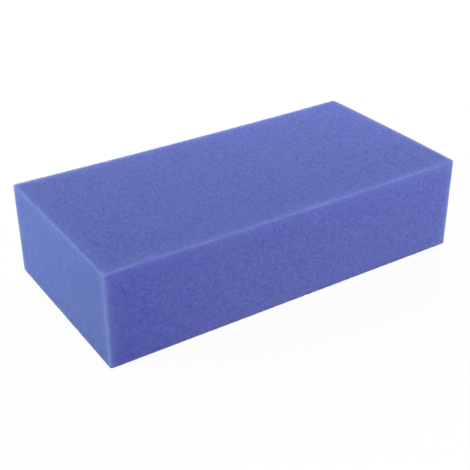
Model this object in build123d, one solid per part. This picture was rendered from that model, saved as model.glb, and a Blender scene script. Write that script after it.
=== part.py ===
from build123d import *
import math
import os

# Grooming sponge: one block of open-cell polyurethane foam, sawn on all six sides.
# X runs along the length, Y along the width and Z up. The origin is the middle of
# the base, the flat face that the block rests on.

# Driving dimensions, in millimetres
LENGTH = 200.0
WIDTH = 100.0
THICKNESS = 50.0  # at the four upper corners

# Foam springs back unevenly behind the blade, so the top is a shallow saddle
TOP_DIP = 0.7  # the middle of a long upper edge lies this far below its two ends
TOP_SWELL = 0.35  # the middle of a short upper edge lies this far above its two ends

# The outermost cells of a cut edge crumble, which leaves a small round on it
UPRIGHT_EDGE_RADIUS = 1.3
TOP_EDGE_RADIUS = 0.7
BASE_EDGE_RADIUS = 1.8

# How far a swept or trimming shape passes the face that it is cut by
CUT_OVERRUN = 5.0


def arc_radius(chord, rise):
    """The radius of the shallow arc that stands by its rise off its chord."""
    return (chord**2 / 4 + rise**2) / (2 * rise)


def saddle_bar():
    """The section across the width, swept along the dip of the top, past both ends and below the base."""
    half_width = WIDTH / 2
    edge_height = THICKNESS - TOP_DIP
    foot_height = -TOP_DIP - CUT_OVERRUN
    with BuildSketch(Plane.YZ) as section:
        with BuildLine():
            swell = ThreePointArc(
                (-half_width, edge_height),
                (0, edge_height + TOP_SWELL),
                (half_width, edge_height),
            )
            Polyline(swell @ 1, (half_width, foot_height), (-half_width, foot_height), swell @ 0)
        make_face()

    dip_radius = arc_radius(LENGTH, TOP_DIP)
    dip_axis = Axis((0, 0, edge_height + dip_radius), (0, 1, 0))
    half_sweep = math.degrees(math.asin((LENGTH / 2 + CUT_OVERRUN) / dip_radius))
    bar = revolve(section.sketch, dip_axis, revolution_arc=2 * half_sweep)
    return bar.rotate(dip_axis, -half_sweep)


def foam_block():
    """The saddle-topped bar cut to length and to its flat base, with its edges rounded."""
    cut_to_length = Box(
        LENGTH,
        WIDTH + 2 * CUT_OVERRUN,
        THICKNESS + TOP_SWELL + CUT_OVERRUN,
        align=(Align.CENTER, Align.CENTER, Align.MIN),
    )
    block = saddle_bar() & cut_to_length
    block = fillet(block.edges().filter_by(Axis.Z), UPRIGHT_EDGE_RADIUS)
    block = fillet(block.faces().sort_by(Axis.Z)[-1].edges(), TOP_EDGE_RADIUS)
    return fillet(block.faces().sort_by(Axis.Z)[0].edges(), BASE_EDGE_RADIUS)


os.makedirs("parts", exist_ok=True)
export_step(foam_block(), "parts/foam_block.step")
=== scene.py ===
import math
import random

import bmesh
import bpy
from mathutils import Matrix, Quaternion, Vector
from mathutils.bvhtree import BVHTree


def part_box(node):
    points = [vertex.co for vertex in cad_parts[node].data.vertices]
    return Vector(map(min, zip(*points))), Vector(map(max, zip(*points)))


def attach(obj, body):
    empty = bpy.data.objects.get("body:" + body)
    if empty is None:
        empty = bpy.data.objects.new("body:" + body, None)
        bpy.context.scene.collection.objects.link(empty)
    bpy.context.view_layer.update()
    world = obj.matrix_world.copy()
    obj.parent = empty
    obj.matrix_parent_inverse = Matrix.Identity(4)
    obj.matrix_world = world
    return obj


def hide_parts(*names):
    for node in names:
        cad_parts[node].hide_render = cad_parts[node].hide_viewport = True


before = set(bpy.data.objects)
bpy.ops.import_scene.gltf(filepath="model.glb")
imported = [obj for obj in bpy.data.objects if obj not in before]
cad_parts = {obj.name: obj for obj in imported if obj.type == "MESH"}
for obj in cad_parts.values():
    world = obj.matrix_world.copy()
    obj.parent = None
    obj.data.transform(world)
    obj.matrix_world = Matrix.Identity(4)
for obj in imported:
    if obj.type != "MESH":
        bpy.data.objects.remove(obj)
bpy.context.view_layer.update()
scene = bpy.context.scene

# Foam block
# The whole sponge is one block of flexible polyurethane foam, poured as a large bun and cut on a
# band saw. It has no skin, cover or core, and nothing is fixed to it, so every face shows the cells
# that the blade opened.

MM = 0.001
EDGE_ROUND = 1.0 * MM  # only to start from, because every point is then laid on the CAD form
EDGE_ROWS = 3
CELL_RISE = Vector((1.0, 1.8, 1.0))  # the bun rose along the block's width, which drew out its cells
ROW_SPACING = 0.9 * MM * CELL_RISE  # real cells are about half as wide, which is too fine to show
ROW_WANDER = 0.22 * MM
CELL_SEED = 7
CELL_DEPTH = 0.35 * MM  # how far the deepest opened cells lie below a cut with a contrast of 1
SHALLOW_CELLS = 3  # above 1, more of the cells are shallow than deep
CUT_CONTRAST = Vector((0.5, 1.05, 0.85))  # on cuts across X, Y and Z, of which the ends are the cleanest
CORNER_SHADE_REACH = 40.0 * MM  # the length over which the painted shade about the front's lower left corner falls to about a third

# Painted highlight along each edge, where the struts are lit from two sides: how pale each edge is, and
# the length over which that falls to about a third
EDGE_PAINTED_HIGHLIGHT = {
    ("left", "top"): (0.06, 3.4 * MM),
    ("front", "top"): (0.17, 3.2 * MM),
    ("right", "top"): (0.32, 2.6 * MM),
    ("back", "top"): (0.40, 2.6 * MM),
    ("left", "front"): (0.52, 1.6 * MM),
    ("left", "back"): (0.33, 2.6 * MM),
    ("right", "front"): (0.37, 2.6 * MM),
    ("right", "back"): (0.33, 2.6 * MM),
}

block_low, block_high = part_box("foam_block")
block_size = block_high - block_low
block_centre = (block_low + block_high) / 2

foam = bmesh.new()
bmesh.ops.create_cube(foam, size=1.0)
bmesh.ops.scale(foam, vec=block_size, verts=foam.verts)
bmesh.ops.translate(foam, vec=block_centre, verts=foam.verts)
bmesh.ops.bevel(
    foam,
    geom=foam.edges[:],
    offset=EDGE_ROUND,
    segments=EDGE_ROWS,
    profile=0.5,
    affect="EDGES",
    material=-1,
)
for axis in range(3):
    half_span = block_size[axis] / 2
    long_edges = [e for e in foam.edges if abs((e.verts[0].co - e.verts[1].co)[axis]) > half_span]
    rows = round(block_size[axis] / ROW_SPACING[axis])
    bmesh.ops.subdivide_edges(foam, edges=long_edges, cuts=rows - 1, use_grid_fill=True)

# The blade's path: every point is laid on the CAD form, a little off its row so that no grid shows
sawn_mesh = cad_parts["foam_block"].data
sawn_form = BVHTree.FromPolygons(
    [v.co for v in sawn_mesh.vertices],
    [p.vertices for p in sawn_mesh.polygons],
)
cell_luck = random.Random(CELL_SEED)
for vert in foam.verts:
    wander = Vector(cell_luck.uniform(-ROW_WANDER, ROW_WANDER) for _ in range(3))
    vert.co = sawn_form.find_nearest(vert.co + wander)[0]

# The opened cells: each point sinks by its own depth, most by little and a few by a lot. Along the
# edges they are crumbled flat. On the front, painted shade deepens the colour about the lower left
# corner.
foam.normal_update()
depth_layer = foam.verts.layers.float.new("cell_depth")
highlight_layer = foam.verts.layers.float.new("painted_edge_highlight")
contrast_layer = foam.verts.layers.float.new("cut_contrast")
corner_shade_layer = foam.verts.layers.float.new("painted_corner_shade")
for vert in foam.verts:
    inset = {
        "left": vert.co.x - block_low.x,
        "right": block_high.x - vert.co.x,
        "front": vert.co.y - block_low.y,
        "back": block_high.y - vert.co.y,
        "top": block_high.z - vert.co.z,
    }
    # The paleness along each edge is a painted highlight; the crumbling only makes the cells there
    # shallower
    crumbled = 0
    for edge, (highlight_share, reach) in EDGE_PAINTED_HIGHLIGHT.items():
        nearness = math.exp(-max(inset[side] for side in edge) / reach)
        vert[highlight_layer] = max(vert[highlight_layer], highlight_share * nearness)
        crumbled = max(crumbled, nearness)
    # Painted shade on the front, strongest at the lower left corner and fading away from it
    front_facing = max(0, -vert.normal.y) ** 2
    corner_distance = (vert.co - block_low).length
    vert[corner_shade_layer] = front_facing * math.exp(-corner_distance / CORNER_SHADE_REACH)
    vert[contrast_layer] = sum(CUT_CONTRAST[axis] * vert.normal[axis] ** 2 for axis in range(3))
    vert[depth_layer] = vert[contrast_layer] * (1 - crumbled) * cell_luck.random() ** SHALLOW_CELLS
for vert in foam.verts:
    vert.co -= vert.normal * CELL_DEPTH * vert[depth_layer]

for face in foam.faces:
    face.smooth = True
block_mesh = bpy.data.meshes.new("foam_block_sawn")
foam.to_mesh(block_mesh)
foam.free()
block = bpy.data.objects.new("sponge_block", block_mesh)
scene.collection.objects.link(block)


def linear(hex_colour):
    """The linear red, green, blue and alpha of an sRGB colour written as six hex digits."""
    channels = [int(hex_colour[i : i + 2], 16) / 255 for i in (0, 2, 4)]
    return [c / 12.92 if c <= 0.04045 else ((c + 0.055) / 1.055) ** 2.4 for c in channels] + [1.0]


def add_node(tree, kind, inputs, **settings):
    """Adds a node with its settings, and gives each of its inputs a value or a link."""
    node = tree.nodes.new(kind)
    for name, value in settings.items():
        setattr(node, name, value)
    for name, value in inputs.items():
        if isinstance(value, bpy.types.NodeSocket):
            tree.links.new(value, node.inputs[name])
        else:
            node.inputs[name].default_value = value
    return node


# The colour sockets of a Mix node, by number, because its float and vector sockets share their names
MIX_FACTOR, MIX_A, MIX_B = 0, 6, 7
MIX_RESULT = 2

# Sawn polyurethane foam: a matt, velvety blue, because light goes into the open cells and comes
# back from the struts. The grain is fine and soft, with a few dark pores, darkened by painted shade in
# the deepest cells. Along a cut edge the struts are lit from two sides and look paler, which is a
# painted highlight. About the front's lower left corner, painted shade makes the colour deeper and more
# violet.
PORE_COLOUR = "5562BC"
STRUT_COLOUR = "6A7BCE"
# Painted shade: the colour is multiplied by this about the front's lower left corner
CORNER_SHADE_TINT = "E0D7FA"
# The colour of the painted highlight along the edges
HIGHLIGHT_COLOUR = "8BA4DA"
CELL_SIZE = 1.0 * MM  # about as coarse as the rows, so that the cells show
STRUT_SPAN = (0.1, 0.8)  # from the darkest of a pore to its palest strut, as shares of the cell's size
STRUT_CONTRAST = 0.33
CLUMP_SIZE = 2.5 * MM  # patches where the foam rose a little denser
CLUMP_DETAIL = 3.0
CLUMP_ROUGHNESS = 0.7
CLUMP_CONTRAST = 0.3
MIDDLE_SHADE = 0.5  # halfway from the pores' colour to the struts'
PIT_PAINTED_SHADE = 0.42  # painted shade: how much darker the deepest opened cells are
FOAM_ROUGHNESS = (0.8, 1.0)  # on the struts and in the pores
GRAIN_BUMP = 0.15
GRAIN_HEIGHT = 0.2 * MM
POLYURETHANE_IOR = 1.49
FOAM_SPECULAR = 0.25  # open cells break up most of the gloss
LIGHT_REACH = 11.0 * MM  # how far light wanders inside the foam
LIGHT_SPREAD = (1.0, 1.0, 1.0)  # red, green and blue wander equally far

foam_material = bpy.data.materials.new("sawn_polyurethane_foam")
foam_material.use_nodes = True
tree = foam_material.node_tree
tree.nodes.clear()
place = add_node(tree, "ShaderNodeTexCoord", {})
risen = add_node(
    tree,
    "ShaderNodeMapping",
    {"Vector": place.outputs["Object"], "Scale": [1 / rise for rise in CELL_RISE]},
)
cells = add_node(
    tree,
    "ShaderNodeTexVoronoi",
    {"Vector": risen.outputs["Vector"], "Scale": 1 / CELL_SIZE},
    feature="F1",
)
struts = add_node(
    tree,
    "ShaderNodeMapRange",
    {
        "Value": cells.outputs["Distance"],
        "From Min": STRUT_SPAN[0],
        "From Max": STRUT_SPAN[1],
        "To Min": -STRUT_CONTRAST,
        "To Max": STRUT_CONTRAST,
    },
)
clumps = add_node(
    tree,
    "ShaderNodeTexNoise",
    {
        "Vector": risen.outputs["Vector"],
        "Scale": 1 / CLUMP_SIZE,
        "Detail": CLUMP_DETAIL,
        "Roughness": CLUMP_ROUGHNESS,
    },
)
clump_shade = add_node(
    tree,
    "ShaderNodeMapRange",
    {
        "Value": clumps.outputs[0],
        "To Min": MIDDLE_SHADE - CLUMP_CONTRAST,
        "To Max": MIDDLE_SHADE + CLUMP_CONTRAST,
    },
)
cut_contrast = add_node(tree, "ShaderNodeAttribute", {}, attribute_name="cut_contrast")
density = add_node(
    tree,
    "ShaderNodeMath",
    {0: struts.outputs["Result"], 1: cut_contrast.outputs["Fac"], 2: clump_shade.outputs["Result"]},
    operation="MULTIPLY_ADD",
)
# Painted shade: the deeper an opened cell sinks, the darker its colour
depth = add_node(tree, "ShaderNodeAttribute", {}, attribute_name="cell_depth")
grain_and_pit_shade = add_node(
    tree,
    "ShaderNodeMath",
    {0: depth.outputs["Fac"], 1: -PIT_PAINTED_SHADE, 2: density.outputs["Value"]},
    operation="MULTIPLY_ADD",
    use_clamp=True,
)
cut_colour = add_node(
    tree,
    "ShaderNodeMix",
    {MIX_FACTOR: grain_and_pit_shade.outputs["Value"], MIX_A: linear(PORE_COLOUR), MIX_B: linear(STRUT_COLOUR)},
    data_type="RGBA",
)
# Painted shade: deeper and more violet about the front's lower left corner
painted_corner_shade = add_node(tree, "ShaderNodeAttribute", {}, attribute_name="painted_corner_shade")
face_colour = add_node(
    tree,
    "ShaderNodeMix",
    {
        MIX_FACTOR: painted_corner_shade.outputs["Fac"],
        MIX_A: cut_colour.outputs[MIX_RESULT],
        MIX_B: linear(CORNER_SHADE_TINT),
    },
    data_type="RGBA",
    blend_type="MULTIPLY",
)
# Painted highlight: the edges are mixed towards a paler colour, as where struts are lit from two sides
painted_edge_highlight = add_node(tree, "ShaderNodeAttribute", {}, attribute_name="painted_edge_highlight")
foam_colour = add_node(
    tree,
    "ShaderNodeMix",
    {
        MIX_FACTOR: painted_edge_highlight.outputs["Fac"],
        MIX_A: face_colour.outputs[MIX_RESULT],
        MIX_B: linear(HIGHLIGHT_COLOUR),
    },
    data_type="RGBA",
)
matt = add_node(
    tree,
    "ShaderNodeMapRange",
    {"Value": grain_and_pit_shade.outputs["Value"], "To Min": FOAM_ROUGHNESS[1], "To Max": FOAM_ROUGHNESS[0]},
)
grain_bump = add_node(
    tree,
    "ShaderNodeBump",
    {"Height": grain_and_pit_shade.outputs["Value"], "Strength": GRAIN_BUMP, "Distance": GRAIN_HEIGHT},
)
foam_surface = add_node(
    tree,
    "ShaderNodeBsdfPrincipled",
    {
        "Base Color": foam_colour.outputs[MIX_RESULT],
        "Roughness": matt.outputs["Result"],
        "IOR": POLYURETHANE_IOR,
        "Specular IOR Level": FOAM_SPECULAR,
        "Subsurface Weight": 1.0,
        "Subsurface Radius": LIGHT_SPREAD,
        "Subsurface Scale": LIGHT_REACH,
        "Normal": grain_bump.outputs["Normal"],
    },
)
add_node(tree, "ShaderNodeOutputMaterial", {"Surface": foam_surface.outputs["BSDF"]})
block_mesh.materials.append(foam_material)

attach(block, "root")
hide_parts("foam_block")

# Floor
# A wide sheet of smooth white card that the block lies on, and no part of the sponge. To the eye it
# glows as white as the room, apart from the block's faint shadow.

FLOOR_SIDE = 12.0  # metres
SHADOW_REACH = (0.2, 0.5)  # metres from the middle, over which the card passes into the white room
CARD_GLOW = (0.95, 1.0)  # near the block and past its shadow, where 1 is white
CARD_COLOUR = "505070"  # for the light that it throws back on the block
CARD_SEEN_COLOUR = "494949"  # to the eye, under the glow, so that the lamps and the shadow show on it
WHITE = "FFFFFF"

floor_form = bmesh.new()
bmesh.ops.create_grid(floor_form, x_segments=1, y_segments=1, size=FLOOR_SIDE / 2)
floor_mesh = bpy.data.meshes.new("white_card")
floor_form.to_mesh(floor_mesh)
floor_form.free()
floor = bpy.data.objects.new("floor", floor_mesh)
scene.collection.objects.link(floor)


def seen_by_eye(tree):
    """A socket that is 1 for what is seen, straight, mirrored or through glass, and 0 for lighting."""
    light_path = add_node(tree, "ShaderNodeLightPath", {})
    seen = light_path.outputs["Is Camera Ray"]
    for other_ray in ("Is Glossy Ray", "Is Transmission Ray"):
        either = add_node(
            tree,
            "ShaderNodeMath",
            {0: seen, 1: light_path.outputs[other_ray]},
            operation="MAXIMUM",
        )
        seen = either.outputs["Value"]
    return seen


# Smooth matt card: even and without grain, and whiter than the lamps alone would make it
card = bpy.data.materials.new("white_card")
card.use_nodes = True
tree = card.node_tree
tree.nodes.clear()
place = add_node(tree, "ShaderNodeTexCoord", {})
distance = add_node(tree, "ShaderNodeVectorMath", {0: place.outputs["Object"]}, operation="LENGTH")
glow = add_node(
    tree,
    "ShaderNodeMapRange",
    {
        "Value": distance.outputs["Value"],
        "From Min": SHADOW_REACH[0],
        "From Max": SHADOW_REACH[1],
        "To Min": CARD_GLOW[0],
        "To Max": CARD_GLOW[1],
    },
    interpolation_type="SMOOTHSTEP",
)
card_matt = add_node(tree, "ShaderNodeBsdfDiffuse", {"Color": linear(CARD_COLOUR)})
card_seen = add_node(tree, "ShaderNodeBsdfDiffuse", {"Color": linear(CARD_SEEN_COLOUR)})
card_white = add_node(
    tree,
    "ShaderNodeEmission",
    {"Color": linear(WHITE), "Strength": glow.outputs["Result"]},
)
card_shown = add_node(tree, "ShaderNodeAddShader", {0: card_seen.outputs[0], 1: card_white.outputs[0]})
card_surface = add_node(
    tree,
    "ShaderNodeMixShader",
    {0: seen_by_eye(tree), 1: card_matt.outputs[0], 2: card_shown.outputs[0]},
)
add_node(tree, "ShaderNodeOutputMaterial", {"Surface": card_surface.outputs[0]})
floor_mesh.materials.append(card)

# Studio light
# Three large square softboxes, at the left, behind on the right and in front, each turned towards
# the middle of the block. The room is white to the eye and in reflections, and gives no other light.

world = bpy.data.worlds.new("white_room")
world.use_nodes = True
scene.world = world
tree = world.node_tree
tree.nodes.clear()
room = add_node(
    tree,
    "ShaderNodeBackground",
    {"Color": linear(WHITE), "Strength": seen_by_eye(tree)},
)
add_node(tree, "ShaderNodeOutputWorld", {"Surface": room.outputs[0]})

# Places and sides in metres
LAMPS = {
    "left_lamp": {"place": (-0.60, 0.20, 0.12), "side": 0.5, "watts": 5.28, "colour": "F6FFE9"},
    "right_back_lamp": {"place": (0.45, 0.50, 0.45), "side": 0.5, "watts": 6.05, "colour": "E7EBFF"},
    "front_lamp": {"place": (0.30, -1.00, 0.25), "side": 0.6, "watts": 12.2, "colour": "FFF4E8"},
}
for name, lamp in LAMPS.items():
    light = bpy.data.lights.new(name, "AREA")
    light.shape = "SQUARE"
    light.size = lamp["side"]
    light.energy = lamp["watts"]
    light.color = linear(lamp["colour"])[:3]
    softbox = bpy.data.objects.new(name, light)
    softbox.location = lamp["place"]
    softbox.rotation_mode = "QUATERNION"
    softbox.rotation_quaternion = (block_centre - softbox.location).to_track_quat("-Z", "Y")
    softbox.visible_camera = False
    scene.collection.objects.link(softbox)

# Camera
# It stands half a metre off, with a short tele lens, and looks down on the block's left end, front
# and top. The picture is turned by a third of a degree, as from a stand that isn't quite level.

CAMERA_AIM = Vector((-4.11, -3.01, 16.20)) * MM
CAMERA_DISTANCE = 488.6 * MM
CAMERA_AZIMUTH = math.radians(-32.838)
CAMERA_ELEVATION = math.radians(29.834)
CAMERA_ROLL = math.radians(-0.325)
CAMERA_LENS = 72.56  # millimetres
CAMERA_SENSOR = 36.0  # millimetres wide

back = Vector(
    (
        math.sin(CAMERA_AZIMUTH) * math.cos(CAMERA_ELEVATION),
        -math.cos(CAMERA_AZIMUTH) * math.cos(CAMERA_ELEVATION),
        math.sin(CAMERA_ELEVATION),
    )
)
camera_data = bpy.data.cameras.new("camera")
camera_data.sensor_width = CAMERA_SENSOR
camera_data.lens = CAMERA_LENS
camera = bpy.data.objects.new("camera", camera_data)
camera.rotation_mode = "QUATERNION"
camera.location = CAMERA_AIM + back * CAMERA_DISTANCE
camera.rotation_quaternion = (-back).to_track_quat("-Z", "Y") @ Quaternion((0, 0, 1), CAMERA_ROLL)
scene.collection.objects.link(camera)
scene.camera = camera

scene.view_settings.view_transform = "Standard"
